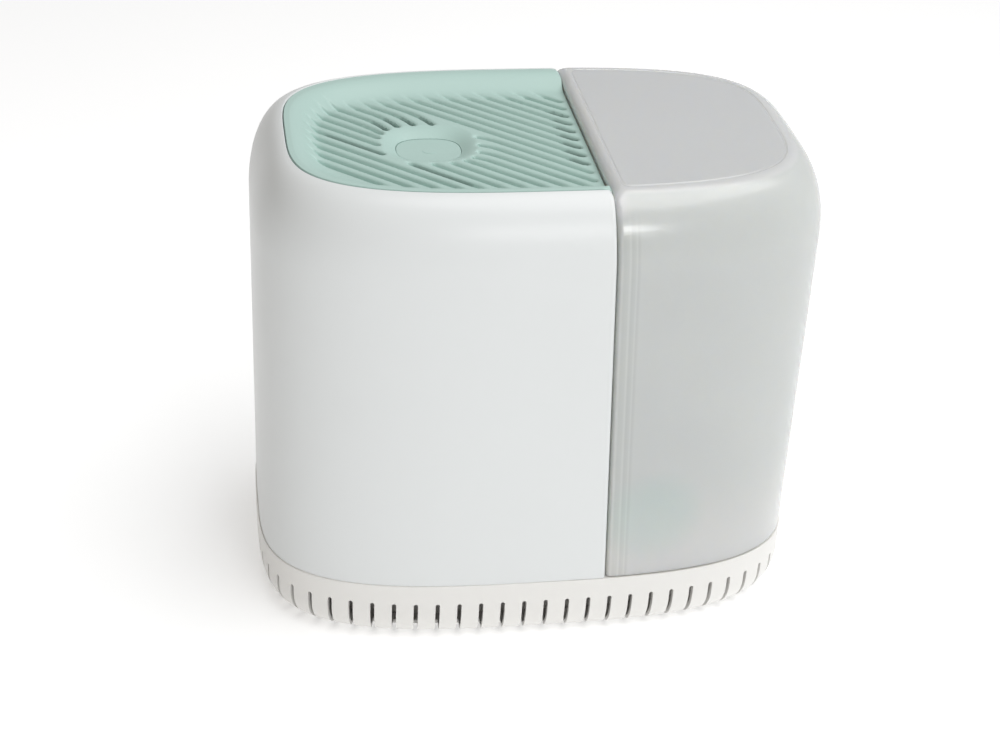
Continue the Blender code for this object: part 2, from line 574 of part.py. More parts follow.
def make_lid():
    a, b = WIDTH / 2 - LID_INSET, DEPTH / 2 - LID_INSET
    top = HEIGHT - 0.1
    rings = [part_outline(a - i, b - i, LID_RIGHT - i, LID_CORNER, z, -1)
             for z, i in ((LID_UNDER, 0.0), (top - 1.5, 0.0), (top - 0.4, 0.4), (top, 1.5))]
    lid = loft("lid_grille", rings, "green_plastic")

    fa, fb, wall, centre = floor_shape(0.0)
    wall = SEAM_X + 20.0                   # the dish runs out through the side that faces the tank
    dish = [part_outline(fa, fb, wall, 8.0, LID_FLOOR, -1, centre),
            part_outline(fa + 5.0, fb + 5.0, wall, 8.0, LID_FLOOR + 1.2, -1, centre),
            part_outline(fa + 12.0, fb + 12.0, wall, 8.0, LID_FLOOR + 5.8, -1, centre),
            part_outline(fa + 17.0, fb + 17.0, wall, 8.0, HEIGHT, -1, centre),
            part_outline(fa + 17.5, fb + 17.5, wall, 8.0, HEIGHT + 1.0, -1, centre)]
    cut(lid, loft("cutter_lid_dish", dish, None))

    pod = [oval(45.4, 38.4, POD_BOTTOM), oval(45.4, 38.4, HEIGHT - 14), oval(51.0, 45.0, LID_UNDER + 0.4),
           oval(51.0, 45.0, LID_FLOOR - 0.2)]
    unite(lid, loft("guide_button_pod", pod, None))
    cut(lid, loft("cutter_button_cavity", [oval(41.4, 34.4, POD_BOTTOM - 3), oval(41.4, 34.4, WELL_FLOOR - 2.4)], None))
    cut(lid, loft("cutter_pad_hole", [oval(PAD_LENGTH, PAD_WIDTH, z) for z in (POD_BOTTOM - 4, HEIGHT)], None))
    well = [oval(PAD_LENGTH + 0.1, PAD_WIDTH + 0.1, WELL_FLOOR), oval(WELL_LENGTH, WELL_WIDTH, LID_FLOOR + 0.1)]
    cut(lid, loft("cutter_button_well", well, None))

    points, faces = [], []
    across = Vector((-math.sin(SLAT_ANGLE), math.cos(SLAT_ANGLE))) * SLIT_WIDTH / 2
    for index in range(-22, 17):
        for start, end in slit_spans(index * SLAT_PITCH + SLAT_PHASE, in_slatted_floor):
            first = len(points)
            for z in (LID_UNDER - 2, LID_FLOOR + 1):
                points += [(*(p), z) for p in (start - across, end - across, end + across, start + across)]
            faces += [tuple(first + k for k in (3, 2, 1, 0)), tuple(first + k for k in (4, 5, 6, 7))]
            faces += [tuple(first + k for k in (k0, (k0 + 1) % 4, 4 + (k0 + 1) % 4, 4 + k0)) for k0 in range(4)]
    cut(lid, add_mesh("cutter_slits", points, faces, None))


def make_button():
    origin = (BUTTON_X, BUTTON_Y, WELL_FLOOR)
    stem, flange = 3.5, WELL_FLOOR - 2.7
    under = flange - 2.0
    low = SWITCH_TOP + BUTTON_TRAVEL + GAP

    rings = [oval(2 * stem, 2 * stem, low), oval(2 * stem, 2 * stem, under), oval(40.0, 33.0, under),
             oval(40.0, 33.0, flange), oval(PAD_LENGTH - 0.6, PAD_WIDTH - 0.6, flange),
             oval(PAD_LENGTH - 0.6, PAD_WIDTH - 0.6, WELL_FLOOR - 0.4),
             oval(PAD_LENGTH - 1.4, PAD_WIDTH - 1.4, WELL_FLOOR)]
    loft("button_cap", rings, "green_plastic", origin=origin)

    plate_low, plate_high = POD_BOTTOM + 0.3, POD_BOTTOM + 2.3
    plate = loft("button_retainer", [oval(40.8, 33.8, plate_low), oval(40.8, 33.8, plate_high)], "white_plastic")
    cut(plate, turned("cutter_retainer_hole", [(4.2, plate_low - 2), (4.2, plate_high + 2)],
                      BUTTON_X, BUTTON_Y, None, 16))
    coil("button_spring", BUTTON_X, BUTTON_Y, 6.5, 0.45, plate_high + 0.2, under - 0.2, 3.5)


def coil(name, x, y, radius, wire, low, high, turns):
    """A compression spring between two heights."""
    steps, sides = int(turns * 10), 5
    rise = (high - low - 2 * wire) / (turns * math.tau)
    slope = math.atan2(rise, radius)
    rings = []
    for k in range(steps + 1):
        angle = turns * math.tau * k / steps
        out = Vector((math.cos(angle), math.sin(angle), 0.0))
        lift = Vector((math.sin(angle) * math.sin(slope), -math.cos(angle) * math.sin(slope), math.cos(slope)))
        centre = Vector((x, y, low + wire + rise * angle)) + out * radius
        rings.append([centre + wire * (out * math.cos(s * math.tau / sides) + lift * math.sin(s * math.tau / sides))
                      for s in range(sides)])
    return loft(name, rings, "steel", origin=(x, y, low))


# ---------------------------------------------------------------- tank and valve

def make_tank():
    tank = shell_solid("tank_shell", TANK_BOTTOM, HEIGHT, 0.0, 1, TANK_CORNER, "frosted_plastic")
    unite(tank, turned("guide_neck", [(NECK_OUTER, NECK_BOTTOM), (NECK_OUTER, TANK_BOTTOM + 1.5)],
                       CAP_X, CAP_Y, None, 32))
    cut(tank, shell_solid("cutter_tank_hollow", TANK_BOTTOM + WALL, HEIGHT - WALL, WALL, 1, TANK_CORNER, None))
    cut(tank, turned("cutter_neck", [(NECK_BORE, NECK_BOTTOM - 4), (NECK_BORE, TANK_BOTTOM + WALL + 4)],
                     CAP_X, CAP_Y, None, 32))


def make_valve():
    profile = [(CAP_HOLE, CAP_BOTTOM), (CAP_RADIUS, CAP_BOTTOM), (CAP_RADIUS, CAP_TOP), (NECK_OUTER + 0.6, CAP_TOP),
               (NECK_OUTER + 0.6, CAP_FLOOR), (CAP_HOLE, CAP_FLOOR)]
    cap = turned("tank_cap", profile, CAP_X, CAP_Y, "green_plastic", 32, loop=True)
    cage = [(STEM_RADIUS + 0.8, CAGE_BOTTOM), (CAGE_RADIUS, CAGE_BOTTOM), (CAGE_RADIUS, CAGE_TOP),
            (STEM_RADIUS + 0.8, CAGE_TOP)]
    legs = []
    for index in range(3):
        turn = math.radians(90 + 120 * index)
        out, across = Vector((math.cos(turn), math.sin(turn))), Vector((-math.sin(turn), math.cos(turn))) * 2.0
        ends = [out * r + across * s for r, s in ((12, -1), (14, -1), (14, 1), (12, 1))]
        legs.append(loft(f"guide_cage_leg_{index + 1}",
                         [[(CAP_X + p.x, CAP_Y + p.y, z) for p in ends] for z in (CAP_FLOOR - 1, CAGE_BOTTOM + 1)],
                         None))
    unite(cap, *legs)
    unite(cap, turned("guide_cage_ring", cage, CAP_X, CAP_Y, None, 24, loop=True))

    gasket = [(16.5, CAP_FLOOR + GAP), (21.2, CAP_FLOOR + GAP), (21.2, NECK_BOTTOM - GAP), (16.5, NECK_BOTTOM - GAP)]
    turned("cap_gasket", gasket, CAP_X, CAP_Y, "silicone", 28, loop=True)

    stem = [(STEM_RADIUS - 0.8, STEM_BOTTOM), (STEM_RADIUS, STEM_BOTTOM + 1), (STEM_RADIUS, VALVE_DISC_BOTTOM),
            (SEAL_RADIUS - 1, VALVE_DISC_BOTTOM), (SEAL_RADIUS - 1, VALVE_DISC_TOP), (STEM_RADIUS, VALVE_DISC_TOP),
            (STEM_RADIUS, STEM_TOP)]
    turned("valve_plunger", stem, CAP_X, CAP_Y, "white_plastic", 20)
    low, high = VALVE_DISC_BOTTOM - GAP - 1.5, VALVE_DISC_BOTTOM - GAP
    seal = [(STEM_RADIUS + GAP, low), (SEAL_RADIUS, low), (SEAL_RADIUS, high), (STEM_RADIUS + GAP, high)]
    turned("valve_seal", seal, CAP_X, CAP_Y, "silicone", 20, loop=True)
    coil("valve_spring", CAP_X, CAP_Y, 6.0, 0.4, VALVE_DISC_TOP + 0.2, CAGE_BOTTOM - 0.2, 3.0)


def main():
    clear_scene()
    make_base()
    make_filter()
    make_housing()
    make_deck()
    make_fan()
    make_controls()
    make_inlet()
    make_leads()
    make_lid()
    make_button()
    make_tank()
    make_valve()


main()
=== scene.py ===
"""Looks of the cool mist humidifier: fine shells, slats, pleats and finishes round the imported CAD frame.

Lengths are millimetres until a mesh is made. X is the long side with the tank at +X, the front is -Y.
"""
import math

import bmesh
import bpy
import numpy as np
from mathutils import Matrix, Vector


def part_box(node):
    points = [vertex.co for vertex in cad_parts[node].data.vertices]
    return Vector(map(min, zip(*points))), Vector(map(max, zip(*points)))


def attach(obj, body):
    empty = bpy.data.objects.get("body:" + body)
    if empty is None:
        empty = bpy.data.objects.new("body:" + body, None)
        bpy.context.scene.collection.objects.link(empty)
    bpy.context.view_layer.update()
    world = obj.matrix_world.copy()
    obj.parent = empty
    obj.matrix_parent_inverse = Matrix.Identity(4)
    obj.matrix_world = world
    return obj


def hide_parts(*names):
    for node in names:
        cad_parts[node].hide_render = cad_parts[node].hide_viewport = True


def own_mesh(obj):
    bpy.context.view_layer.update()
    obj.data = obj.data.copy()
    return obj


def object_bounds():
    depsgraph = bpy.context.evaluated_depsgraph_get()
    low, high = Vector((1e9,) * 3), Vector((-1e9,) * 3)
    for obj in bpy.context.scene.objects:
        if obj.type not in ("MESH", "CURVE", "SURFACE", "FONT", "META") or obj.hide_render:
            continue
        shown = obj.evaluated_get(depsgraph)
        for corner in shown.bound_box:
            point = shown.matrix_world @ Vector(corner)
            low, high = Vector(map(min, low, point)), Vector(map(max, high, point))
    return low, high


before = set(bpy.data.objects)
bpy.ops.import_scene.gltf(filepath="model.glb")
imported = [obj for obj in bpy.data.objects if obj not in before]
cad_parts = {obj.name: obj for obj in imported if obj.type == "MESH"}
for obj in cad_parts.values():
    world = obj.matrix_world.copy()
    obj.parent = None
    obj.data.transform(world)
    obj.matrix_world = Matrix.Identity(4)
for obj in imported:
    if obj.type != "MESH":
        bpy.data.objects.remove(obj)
cad_box = [list(corner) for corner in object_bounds()]

MM = 0.001


def low_high(node):
    low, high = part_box(node)
    return low / MM, high / MM


# ---------------------------------------------------------------- sizes: levels and centres come from the frame

HEIGHT = cad_box[1][2] / MM
WIDTH, DEPTH = 305.0, 196.2
POWER_X, POWER_Y = 3.079, 3.802                 # exponents of the superelliptic plan
TOP_INSET, TOP_ROUND = 20.4, 41.6               # elliptical rounding under the top
SEAM_X, SEAM_SLOPE, SEAM_HALF_GAP = 26.3, 0.0406, 0.17
TANK_EDGE, TANK_LEAN = 5.2, 0.6                 # the tank's edge beside the lid: its width, and how flat it is
LEAN_RISE = 0.6                                 # height of a leaning edge, as a part of its width
TANK_CORNER, HOUSING_CORNER = 3.2, 2.0          # upright corners beside the seam
SHELL_INSET, WALL = 0.6, 2.6
BASE_BOTTOM = low_high("base_tray")[0].z
SHELL_BOTTOM = low_high("housing_shell")[0].z
BASE_TOP = SHELL_BOTTOM - 0.3
BASE_INSET, BASE_ROUND = 14.0, 20.0
BASE_FLOOR, LIP_INSET, LIP_TOP = 4.0, 3.6, 43.0         # the base's floor, and the lip inside the shells
BASIN_INSET, BASIN_RIM_INSET = 22.5, 15.0
BOSS_RADIUS, TAP_RADIUS, JACK_HOLE = 5.0, 1.8, 7.0
NECK_RADIUS, BORE_RADIUS, NECK_BOTTOM = 21.0, 18.0, 23.0        # the tank's mouth
LID_TOP, LID_UNDER, LID_FLOOR = HEIGHT - 0.1, HEIGHT - 10.0, HEIGHT - 7.0
LID_INSET, LID_RIGHT, LID_CORNER = 19.5, 26.35, 3.0
FLOOR_A, FLOOR_B, FLOOR_Y, DISH_SLOPE = 114.0, 59.5, -0.8, 17.0     # slatted floor, and the slope round it
WELL_FLOOR, WELL_REACH = low_high("button_cap")[1].z, 24.5          # the reach is the well's mean half width
BUTTON = sum(low_high("button_cap"), Vector()) / 2
CAP = sum(low_high("tank_cap"), Vector()) / 2
FAN = sum(low_high("motor_shaft"), Vector()) / 2
SLAT_ANGLE, SLAT_PITCH, SLAT_PHASE = math.radians(-43.5), 7.38, 5.52
GROOVE_STEP, GROOVE_END = 0.5, 22.0             # spacing of a groove's points, and its end beside the tank
GROOVE_GAP, WELL_GAP = 4.6, 1.4                 # least distance between grooves, and from groove to well
GROOVE_DEPTH, THROUGH_DEPTH, ROOT_DEPTH = 2.3, 5.0, 1.62        # the last is where a slope's fade begins
GROOVE_HALF, GROOVE_FLARE, CROWN = 1.15, 2.1, 2.0       # half width, and the rounding of the ribs beside it
OVAL_POWER = 2.6
PAD_LENGTH, PAD_WIDTH, WELL_LENGTH, WELL_WIDTH = 35.0, 28.6, 51.0, 47.5


# ---------------------------------------------------------------- mesh helpers

def add_mesh(name, points, faces):
    mesh = bpy.data.meshes.new(name)
    mesh.from_pydata([Vector(p) * MM for p in points], [], faces)
    tidy = bmesh.new()
    tidy.from_mesh(mesh)
    bmesh.ops.recalc_face_normals(tidy, faces=tidy.faces)
    tidy.to_mesh(mesh)
    tidy.free()
    obj = bpy.data.objects.new(name, mesh)
    bpy.context.collection.objects.link(obj)
    return obj


def loft(name, rings, loop=False):
    """Skin rings of equal length. A loop joins the last ring to the first; otherwise both ends are capped."""
    size, total = len(rings[0]), len(rings)
    faces = []
    for r in range(total if loop else total - 1):
        low, high = r * size, (r + 1) % total * size
        faces += [(low + k, low + (k + 1) % size, high + (k + 1) % size, high + k) for k in range(size)]
    if not loop:
        faces += [tuple(reversed(range(size))), tuple(range((total - 1) * size, total * size))]
    return add_mesh(name, [p for ring in rings for p in ring], faces)


def circle(radius, z, x=0.0, y=0.0, sides=64):
    step = math.tau / sides
    return [(x + radius * math.cos(k * step), y + radius * math.sin(k * step), z) for k in range(sides)]


def turned(name, profile, x, y, sides=64, loop=False):
    return loft(name, [circle(r, z, x, y, sides) for r, z in profile], loop)


def boolean(target, tool, operation="DIFFERENCE"):
    """Apply a Boolean to target and remove the tool."""
    modifier = target.modifiers.new("shape", "BOOLEAN")
    modifier.operation, modifier.solver, modifier.object = operation, "EXACT", tool
    applied(target)
    bpy.data.objects.remove(tool, do_unlink=True)


def applied(obj):
    """Turn the object's modifiers into its mesh."""
    graph = bpy.context.evaluated_depsgraph_get()
    mesh = bpy.data.meshes.new_from_object(obj.evaluated_get(graph))
    obj.modifiers.clear()
    obj.data = mesh


def smooth(obj, angle=32):
    """Smooth shading that keeps creases, with flat faces left flat."""
    obj.data.shade_smooth()
    obj.data.set_sharp_from_angle(angle=math.radians(angle))
    weighted = obj.modifiers.new("weighted", "WEIGHTED_NORMAL")
    weighted.keep_sharp = True


def piece(obj, body, finish, slot, *nodes, angle=32):
    """Finish a piece: shading, material, the body it rides on and the CAD nodes it stands for."""
    smooth(obj, angle)
    obj.data.materials.clear()
    obj.data.materials.append(finish)
    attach(obj, body)
    if nodes:
        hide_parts(*nodes)


# ---------------------------------------------------------------- plan outlines

def ellipse_point(a, b, t):
    c, s = math.cos(t), math.sin(t)
    return math.copysign(a * abs(c) ** (2 / POWER_X), c), math.copysign(b * abs(s) ** (2 / POWER_Y), s)


def even(points, count):
    """Points at even spacing along an open run of points."""
    length = [0.0]
    for p, q in zip(points, points[1:]):
        length.append(length[-1] + math.dist(p, q))
    out, at = [], 0
    for k in range(count):
        goal = length[-1] * k / (count - 1)
        while at < len(points) - 2 and length[at + 1] < goal:
            at += 1
        part = (goal - length[at]) / max(length[at + 1] - length[at], 1e-9)
        out.append(tuple(p + (q - p) * part for p, q in zip(points[at], points[at + 1])))
    return out


def full_outline(inset, z, sides=240):
    fine = [ellipse_point(WIDTH / 2 - inset, DEPTH / 2 - inset, math.tau * k / 1440) for k in range(1441)]
    return [(x, y, z) for x, y in even(fine, sides + 1)[:-1]]


def part_outline(a, b, wall_x, corner, z, side, sides=130, arc=8):
    """The plan on one side of a straight wall at wall_x, with its two corners rounded."""
    tangent = side * wall_x + corner
    end = math.acos(math.copysign((abs(tangent) / a) ** (POWER_X / 2), tangent))
    fine = [ellipse_point(a, b, -end + 2 * end * k / 900) for k in range(901)]
    flat = even(fine, sides + 1)
    reach = flat[-1][1] - corner
    for k in range(1, arc + 1):
        turn = math.pi / 2 * (1 + k / arc)
        flat.append((tangent + corner * math.cos(turn), reach + corner * math.sin(turn)))
    for k in range(1, 12):
        flat.append((tangent - corner, reach * (1 - k / 6)))
    for k in range(arc):
        turn = math.pi + math.pi / 2 * k / arc
        flat.append((tangent + corner * math.cos(turn), -reach + corner * math.sin(turn)))
    if side < 0:
        flat = [(-x, y) for x, y in reversed(flat)]
    return [(x, y, z) for x, y in flat]


def seam_x(z):
    return SEAM_X + SEAM_SLOPE * (HEIGHT - z)


def quarter(u):
    """How far a quarter round of size 1 has moved in, at a part u of its height."""
    return 1 - math.sqrt(max(0.0, 1 - min(max(u, 0.0), 1.0) ** 2))


def shell_rings(bottom, top, skin, side, corner, edge=3.0, foot=0.8, steps=22, lean=0.0):
    """Rings up a shell's outside, or its hollow's when skin is the wall's thickness.

    The edge beside the seam is a quarter round, or a flatter slope where lean is above 0.
    """
    levels = [bottom, bottom + foot * 0.3, bottom + foot] if not skin else [bottom]
    levels += [bottom + (top - TOP_ROUND - bottom) * k / 6 for k in range(1, 7)]
    levels += [top - TOP_ROUND + TOP_ROUND * math.sin(math.pi / 2 * k / steps) for k in range(1, steps + 1)]
    rings = []
    for z in levels:
        inset = TOP_INSET * quarter((z - top + TOP_ROUND) / TOP_ROUND)
        inset += foot * quarter((bottom + foot - z) / foot) if not skin else 0.0
        rise = edge * (LEAN_RISE if lean else 1.0)
        up = min(max((z - top + rise) / rise, 0.0), 1.0)
        soft = edge * (lean * up + (1 - lean) * quarter(up)) if lean or not skin else 0.0
        wall = seam_x(z) + side * (SEAM_HALF_GAP + skin + soft)
        a, b = WIDTH / 2 - SHELL_INSET - skin - inset, DEPTH / 2 - SHELL_INSET - skin - inset
        rings.append(part_outline(a, b, wall, max(corner - skin, 1.0), z, side))
    return rings


# ---------------------------------------------------------------- materials

def shader(name, color, roughness, metallic=0.0):
    made = bpy.data.materials.new(name)
    made.use_nodes = True
    node = made.node_tree.nodes["Principled BSDF"]
    node.inputs["Base Color"].default_value = (*color, 1.0)
    node.inputs["Roughness"].default_value = roughness
    node.inputs["Metallic"].default_value = metallic
    return made, node


def add(tree, kind, **values):
    node = tree.nodes.new(kind)
    for name, value in values.items():
        if name in node.inputs:
            node.inputs[name].default_value = value
        else:
            setattr(node, name, value)
    return node


def limits(node, low, high):
    """The values between which a Map Range node runs."""
    node.inputs["From Min"].default_value, node.inputs["From Max"].default_value = low, high


def tint(color, gain):
    return (*(min(1.0, c * gain) for c in color), 1.0)


def moulded(name, color, roughness, blotch=0.03, blotch_scale=14.0, grain=0.000012, grain_scale=2600.0,
            metallic=0.0, rough_spread=0.05):
    """Moulded plastic or similar: faint blotches of tone and gloss, and a fine moulded grain."""
    made, node = shader(name, color, roughness, metallic)
    tree = made.node_tree
    place = add(tree, "ShaderNodeTexCoord")
    cloud = add(tree, "ShaderNodeTexNoise", Scale=blotch_scale, Detail=4.0, Roughness=0.55)
    ramp = add(tree, "ShaderNodeMix", data_type="RGBA")
    ramp.inputs[6].default_value = tint(color, 1 - blotch)
    ramp.inputs[7].default_value = tint(color, 1 + blotch)
    gloss = add(tree, "ShaderNodeMapRange")
    gloss.inputs["To Min"].default_value = max(0.0, roughness - rough_spread)
    gloss.inputs["To Max"].default_value = min(1.0, roughness + rough_spread)
    fine = add(tree, "ShaderNodeTexNoise", Scale=grain_scale, Detail=2.0, Roughness=0.5)
    bump = add(tree, "ShaderNodeBump", Strength=0.5, Distance=grain)
    link = tree.links.new
    link(place.outputs["Object"], cloud.inputs["Vector"])
    link(place.outputs["Object"], fine.inputs["Vector"])
    link(cloud.outputs["Fac"], ramp.inputs[0])
    link(cloud.outputs["Fac"], gloss.inputs["Value"])
    link(ramp.outputs[2], node.inputs["Base Color"])
    link(gloss.outputs["Result"], node.inputs["Roughness"])
    link(fine.outputs["Fac"], bump.inputs["Height"])
    link(bump.outputs["Normal"], node.inputs["Normal"])
    return made


def frosted():
    """Blow-moulded translucent polypropylene, with painted light: a painted warm glow low down, painted light
    and dark streaks beside the seam, a painted cap tint on the lower walls, and painted paler tones at the flat
    top and the edge beside the lid.
    """
    made = moulded("frosted_polypropylene", (0.79, 0.815, 0.78), 0.21, blotch_scale=22.0, grain=0.00006,
                   grain_scale=520.0, rough_spread=0.06)
    tree = made.node_tree
    node = tree.nodes["Principled BSDF"]
    node.inputs["IOR"].default_value = 1.46
    node.inputs["Specular IOR Level"].default_value = 1.0
    node.inputs["Transmission Weight"].default_value = 0.3
    node.inputs["Subsurface Weight"].default_value = 1.0
    node.inputs["Subsurface Radius"].default_value = (1.0, 0.95, 0.85)
    node.inputs["Subsurface Scale"].default_value = 0.010
    cloudy = node.inputs["Base Color"].links[0].from_socket
    place = add(tree, "ShaderNodeTexCoord")
    parts = add(tree, "ShaderNodeSeparateXYZ")
    link = tree.links.new
    link(place.outputs["Object"], parts.inputs[0])

    # painted light: the lower walls are painted warmer and paler, standing in for light that the base throws up
    # into the tank
    rise = add(tree, "ShaderNodeMapRange", interpolation_type="SMOOTHSTEP")
    limits(rise, 0.035, 0.105)
    painted_warm_glow = add(tree, "ShaderNodeMix", data_type="RGBA")
    painted_warm_glow.inputs[6].default_value = (0.98, 0.96, 0.88, 1.0)
    link(parts.outputs["Z"], rise.inputs["Value"])
    link(rise.outputs["Result"], painted_warm_glow.inputs[0])
    link(cloudy, painted_warm_glow.inputs[7])

    sides = []                                # painted tint: a teal tint painted on the lower walls where the coloured cap would show through
    reach = 0.034
    for axis, middle in (("X", 0.060), ("Z", 0.076)):
        scaled = add(tree, "ShaderNodeMath", operation="MULTIPLY_ADD")
        scaled.inputs[1].default_value, scaled.inputs[2].default_value = 1 / reach, -middle / reach
        squared = add(tree, "ShaderNodeMath", operation="POWER")
        squared.inputs[1].default_value = 2.0
        size = add(tree, "ShaderNodeMath", operation="ABSOLUTE")
        link(parts.outputs[axis], scaled.inputs[0])
        link(scaled.outputs[0], size.inputs[0])
        link(size.outputs[0], squared.inputs[0])
        sides.append(squared)
    total = add(tree, "ShaderNodeMath", operation="ADD")
    glow = add(tree, "ShaderNodeMapRange", interpolation_type="SMOOTHSTEP")
    glow.inputs["To Min"].default_value, glow.inputs["To Max"].default_value = 1.0, 0.0
    painted_cap_tint = add(tree, "ShaderNodeMix", data_type="RGBA", blend_type="MULTIPLY")
    painted_cap_tint.inputs[7].default_value = (0.86, 0.985, 0.965, 1.0)
    link(sides[0].outputs[0], total.inputs[0])
    link(sides[1].outputs[0], total.inputs[1])
    link(total.outputs[0], glow.inputs["Value"])
    link(glow.outputs["Result"], painted_cap_tint.inputs[0])
    link(painted_warm_glow.outputs[2], painted_cap_tint.inputs[6])

    shift = add(tree, "ShaderNodeMath", operation="MULTIPLY_ADD")     # distance from the seam, in metres
    shift.inputs[1].default_value = SEAM_SLOPE
    shift.inputs[2].default_value = -(SEAM_X + SEAM_SLOPE * HEIGHT + SEAM_HALF_GAP) * MM
    across = add(tree, "ShaderNodeMath", operation="ADD")
    spread = add(tree, "ShaderNodeMapRange")
    spread.inputs["From Max"].default_value = 0.0125
    # painted light and shade: light and dark streaks painted beside the seam stand in for refraction in the
    # rounded corner, darkest at the seam
    painted_streaks = add(tree, "ShaderNodeValToRGB")
    painted_streaks.color_ramp.interpolation = "EASE"
    shades = ((0.0, 0.82), (0.10, 0.88), (0.17, 1.05), (0.27, 0.92), (0.42, 0.96), (0.52, 1.06), (0.60, 0.94),
              (0.72, 0.98), (0.79, 1.06), (0.86, 0.97), (1.0, 1.06))
    ramp = painted_streaks.color_ramp
    while len(ramp.elements) < len(shades):
        ramp.elements.new(0.5)
    for element, (position, shade) in zip(ramp.elements, shades):
        element.position = position
        element.color = (shade * 0.94, shade * 0.945, shade * 0.94, 1.0)
    upright = add(tree, "ShaderNodeMapRange", interpolation_type="SMOOTHSTEP")
    limits(upright, (HEIGHT - 6) * MM, (HEIGHT - 24) * MM)
    banded = add(tree, "ShaderNodeMix", data_type="RGBA", blend_type="MULTIPLY")
    link(parts.outputs["Z"], shift.inputs[0])
    link(shift.outputs[0], across.inputs[0])
    link(parts.outputs["X"], across.inputs[1])
    link(across.outputs[0], spread.inputs["Value"])
    link(spread.outputs["Result"], painted_streaks.inputs["Fac"])
    link(parts.outputs["Z"], upright.inputs["Value"])
    link(upright.outputs["Result"], banded.inputs[0])
    link(painted_cap_tint.outputs[2], banded.inputs[6])
    link(painted_streaks.outputs["Color"], banded.inputs[7])

    painted_pale = banded                             # painted light: the edge beside the lid and the flat top are painted paler, where light gathers
    for seam_only, low, top, shade in ((True, HEIGHT - 13, HEIGHT - 7, (1.0, 0.985, 0.965, 1.0)),
                                       (False, HEIGHT - 2, HEIGHT - 0.4, (0.97, 0.965, 0.91, 1.0))):
        high = add(tree, "ShaderNodeMapRange", interpolation_type="SMOOTHSTEP")
        limits(high, low * MM, top * MM)
        link(parts.outputs["Z"], high.inputs["Value"])
        part = high.outputs["Result"]
        if seam_only:
            beside = add(tree, "ShaderNodeMapRange", interpolation_type="SMOOTHSTEP")
            limits(beside, 0.009, 0.0)
            both = add(tree, "ShaderNodeMath", operation="MULTIPLY")
            link(across.outputs[0], beside.inputs["Value"])
            link(beside.outputs["Result"], both.inputs[0])
            link(part, both.inputs[1])
            part = both.outputs[0]
        lighter = add(tree, "ShaderNodeMix", data_type="RGBA")
        lighter.inputs[7].default_value = shade
        link(part, lighter.inputs[0])
        link(painted_pale.outputs[2], lighter.inputs[6])
        painted_pale = lighter
    link(painted_pale.outputs[2], node.inputs["Base Color"])
    return made


WHITE = moulded("housing_plastic", (0.725, 0.745, 0.745), 0.34, blotch=0.012)
BASE_WHITE = moulded("base_plastic", (0.78, 0.77, 0.745), 0.38, blotch=0.012)
GREEN = moulded("lid_plastic", (0.42, 0.575, 0.53), 0.42, blotch=0.015, grain=0.00002)
FROSTED = frosted()
CAP_GREEN = moulded("cap_plastic", (0.22, 0.50, 0.43), 0.40)
INNER = moulded("inner_plastic", (0.78, 0.79, 0.78), 0.45)
GREY = moulded("fan_plastic", (0.33, 0.35, 0.36), 0.42)
DARK = moulded("dark_plastic", (0.03, 0.03, 0.035), 0.40)
RUBBER = moulded("foot_rubber", (0.06, 0.06, 0.06), 0.75, grain=0.00004, grain_scale=900.0)
SILICONE = moulded("silicone", (0.62, 0.65, 0.64), 0.50)
PAPER = moulded("wick_paper", (0.78, 0.80, 0.74), 0.90, blotch=0.08, blotch_scale=60.0, grain=0.0002,
                grain_scale=700.0)
STEEL = moulded("steel", (0.60, 0.60, 0.61), 0.30, metallic=1.0, rough_spread=0.08)
BOARD = moulded("solder_resist", (0.02, 0.16, 0.07), 0.35, grain=0.00003, grain_scale=500.0)


# ---------------------------------------------------------------- shells

def make_housing():
    low, high = SHELL_BOTTOM, HEIGHT
    shell = loft("housing_cover", shell_rings(low - 0.22, high, 0.0, -1, HOUSING_CORNER, edge=4.0, foot=0.06))
    hollow = shell_rings(low - 8, LID_UNDER - 4, WALL, -1, 3.0)
    boolean(shell, loft("hollow", hollow))
    a, b = WIDTH / 2 - LID_INSET + 0.3, DEPTH / 2 - LID_INSET + 0.3
    pocket = [part_outline(a + i, b + i, 60.0, 3.0, z, -1)
              for z, i in ((LID_UNDER - 0.3, 0), (high - 0.8, 0), (high + 4.2, 5.0))]
    boolean(shell, loft("pocket", pocket))
    ledge = 3.5
    boolean(shell, loft("opening", [part_outline(a - ledge, b - ledge, SEAM_X - 4.0, 3.0, z, -1)
                                    for z in (LID_UNDER - 12, high + 6)]))
    jack_low, jack_high = low_high("dc_inlet_jack")
    x, z = (jack_low.x + jack_high.x) / 2, (jack_low.z + jack_high.z) / 2
    hole = [[(x + JACK_HOLE * math.cos(turn), y, z + JACK_HOLE * math.sin(turn))
             for turn in (k * math.tau / 48 for k in range(48))] for y in (85.0, 110.0)]
    boolean(shell, loft("hole", hole))
    bosses = [(f"deck_screw_{k}", 162.9, 182.0, 160.9, 176.0) for k in (1, 2, 3, 4)]
    bosses += [(f"bracket_screw_{k}", 205.0, 224.0, 211.0, 226.0) for k in (1, 2)]
    for name, bottom, top, tap_bottom, tap_top in bosses:               # heights of each boss and its hole
        s_low, s_high = low_high(name)
        sx, sy = (s_low.x + s_high.x) / 2, (s_low.y + s_high.y) / 2
        boolean(shell, turned("boss", [(BOSS_RADIUS, bottom), (BOSS_RADIUS, top)], sx, sy, 28), "UNION")
        boolean(shell, turned("tap", [(TAP_RADIUS, tap_bottom), (TAP_RADIUS, tap_top)], sx, sy, 16))
    piece(shell, "housing", WHITE, "housing_white", "housing_shell")


